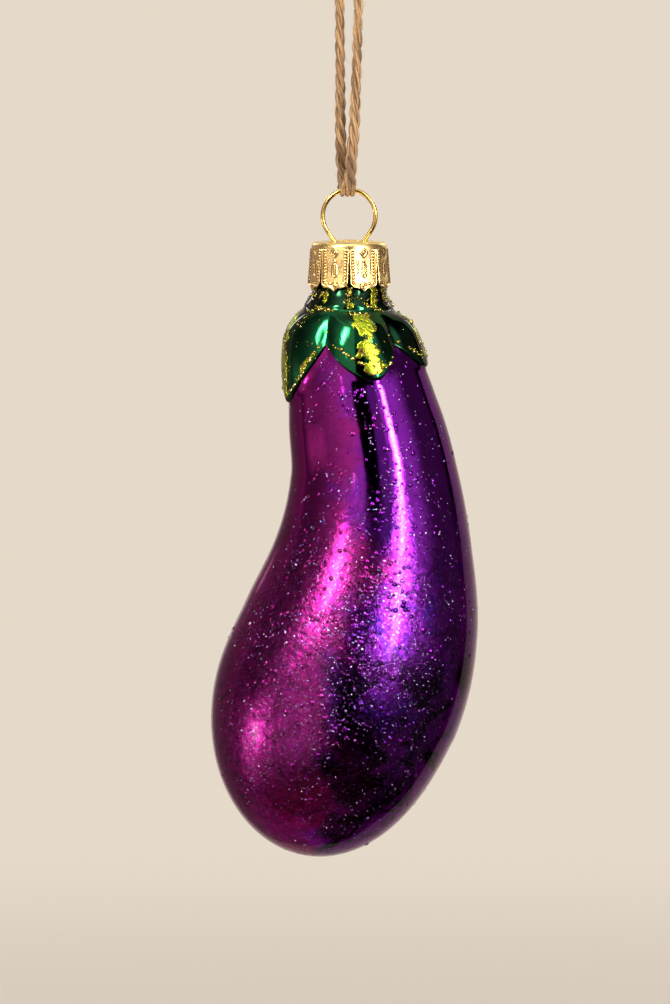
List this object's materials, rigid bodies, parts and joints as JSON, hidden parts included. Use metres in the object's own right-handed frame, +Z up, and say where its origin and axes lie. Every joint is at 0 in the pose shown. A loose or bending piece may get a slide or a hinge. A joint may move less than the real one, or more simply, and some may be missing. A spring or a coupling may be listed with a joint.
{
  "type": "eggplant glass ornament",
  "caption": "Hollow mirrored-glass eggplant ornament with a green calyx, gold crown cap, wire ring hanger and a knotted jute loop.",
  "frame": {"origin": "the inside top of the twine loop, under its knot, where a twig or hook carries the ornament", "axes": "+Z up along the hanging loop, -Y towards the ornament's front, +X to the right as seen from the front; the ring of the hanger lies in the XZ plane"},
  "size_m": [0.0453, 0.0422, 0.1693],
  "materials": {
    "purple_glass": "silvered inside and lacquered purple, mirror gloss, opaque, with fine glitter and beads in the lacquer",
    "green_glass": "emerald lacquer over silvered glass, mirror gloss, opaque, with lime and gold leaf and glitter along the sepals",
    "gold_cap": "bright pressed sheet brass, embossed",
    "gold_wire": "bright drawn wire",
    "jute": "rough two-ply jute twine with loose fibres"
  },
  "bodies": {
    "twine": {"twine_front": "jute", "twine_back": "jute", "twine_bight": "jute", "twine_knot": "jute"},
    "hanger": {"hanger_wire": "gold_wire"},
    "cap": {"crown_cap": "gold_cap"},
    "glass": {"glass_body": "purple_glass", "calyx": "green_glass"}
  },
  "joints": [
    {"name": "twine_swing", "type": "hinge", "parent": "twine", "child": "hanger", "pos_m": [0, 0, -0.0449], "axis": [1, 0, 0], "range_deg": [-90, 90]},
    {"name": "hanger_tilt", "type": "hinge", "parent": "hanger", "child": "cap", "pos_m": [0, 0, -0.05388], "axis": [1, 0, 0], "range_deg": [-6, 6]},
    {"name": "cap_pull", "type": "slide", "parent": "cap", "child": "glass", "axis": [0, 0, -1], "range_m": [0, 0.014]}
  ]
}
